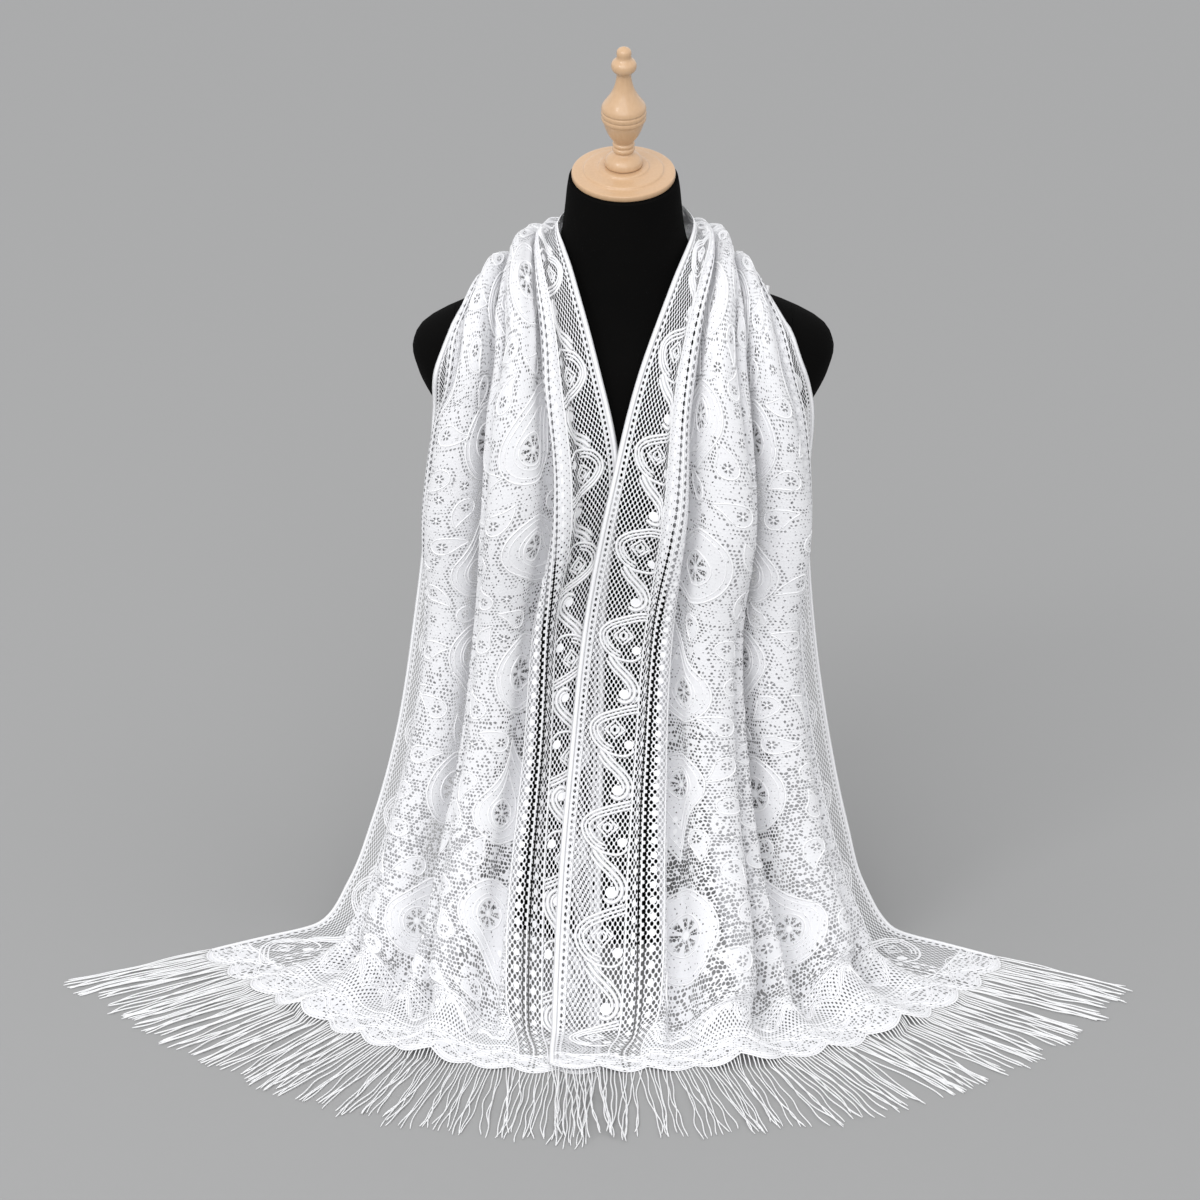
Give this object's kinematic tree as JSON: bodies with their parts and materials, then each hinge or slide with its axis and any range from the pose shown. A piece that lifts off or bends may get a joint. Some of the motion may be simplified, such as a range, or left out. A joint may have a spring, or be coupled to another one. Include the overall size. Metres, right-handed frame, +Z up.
{
  "type": "lace shawl on a dress form",
  "caption": "Long fringed lace shawl draped round the neck of a black limbless dress form, with both ends spread over the surface it stands on",
  "frame": {"origin": "centre of the dress form's flat base, on the surface that it stands on", "axes": "+Z up along the form, -Y towards the front, where the shawl's two ends fall; +X towards the right of the front view"},
  "size_m": [0.9591, 0.6339, 0.841],
  "materials": {
    "lace": "white machine lace with a slight sheen, semi-opaque",
    "fringe_yarn": "soft white yarn",
    "form_cover": "matte black short-pile cover",
    "turned_wood": "pale wood under clear gloss lacquer"
  },
  "bodies": {
    "root": {"shawl_front_left": "lace", "shawl_nape": "lace", "shawl_front_right": "lace", "fringe_left": "fringe_yarn", "fringe_right": "fringe_yarn", "form_torso": "form_cover", "arm_cap_left": "form_cover", "arm_cap_right": "form_cover", "neck_cap": "turned_wood", "finial": "turned_wood"}
  },
  "joints": []
}
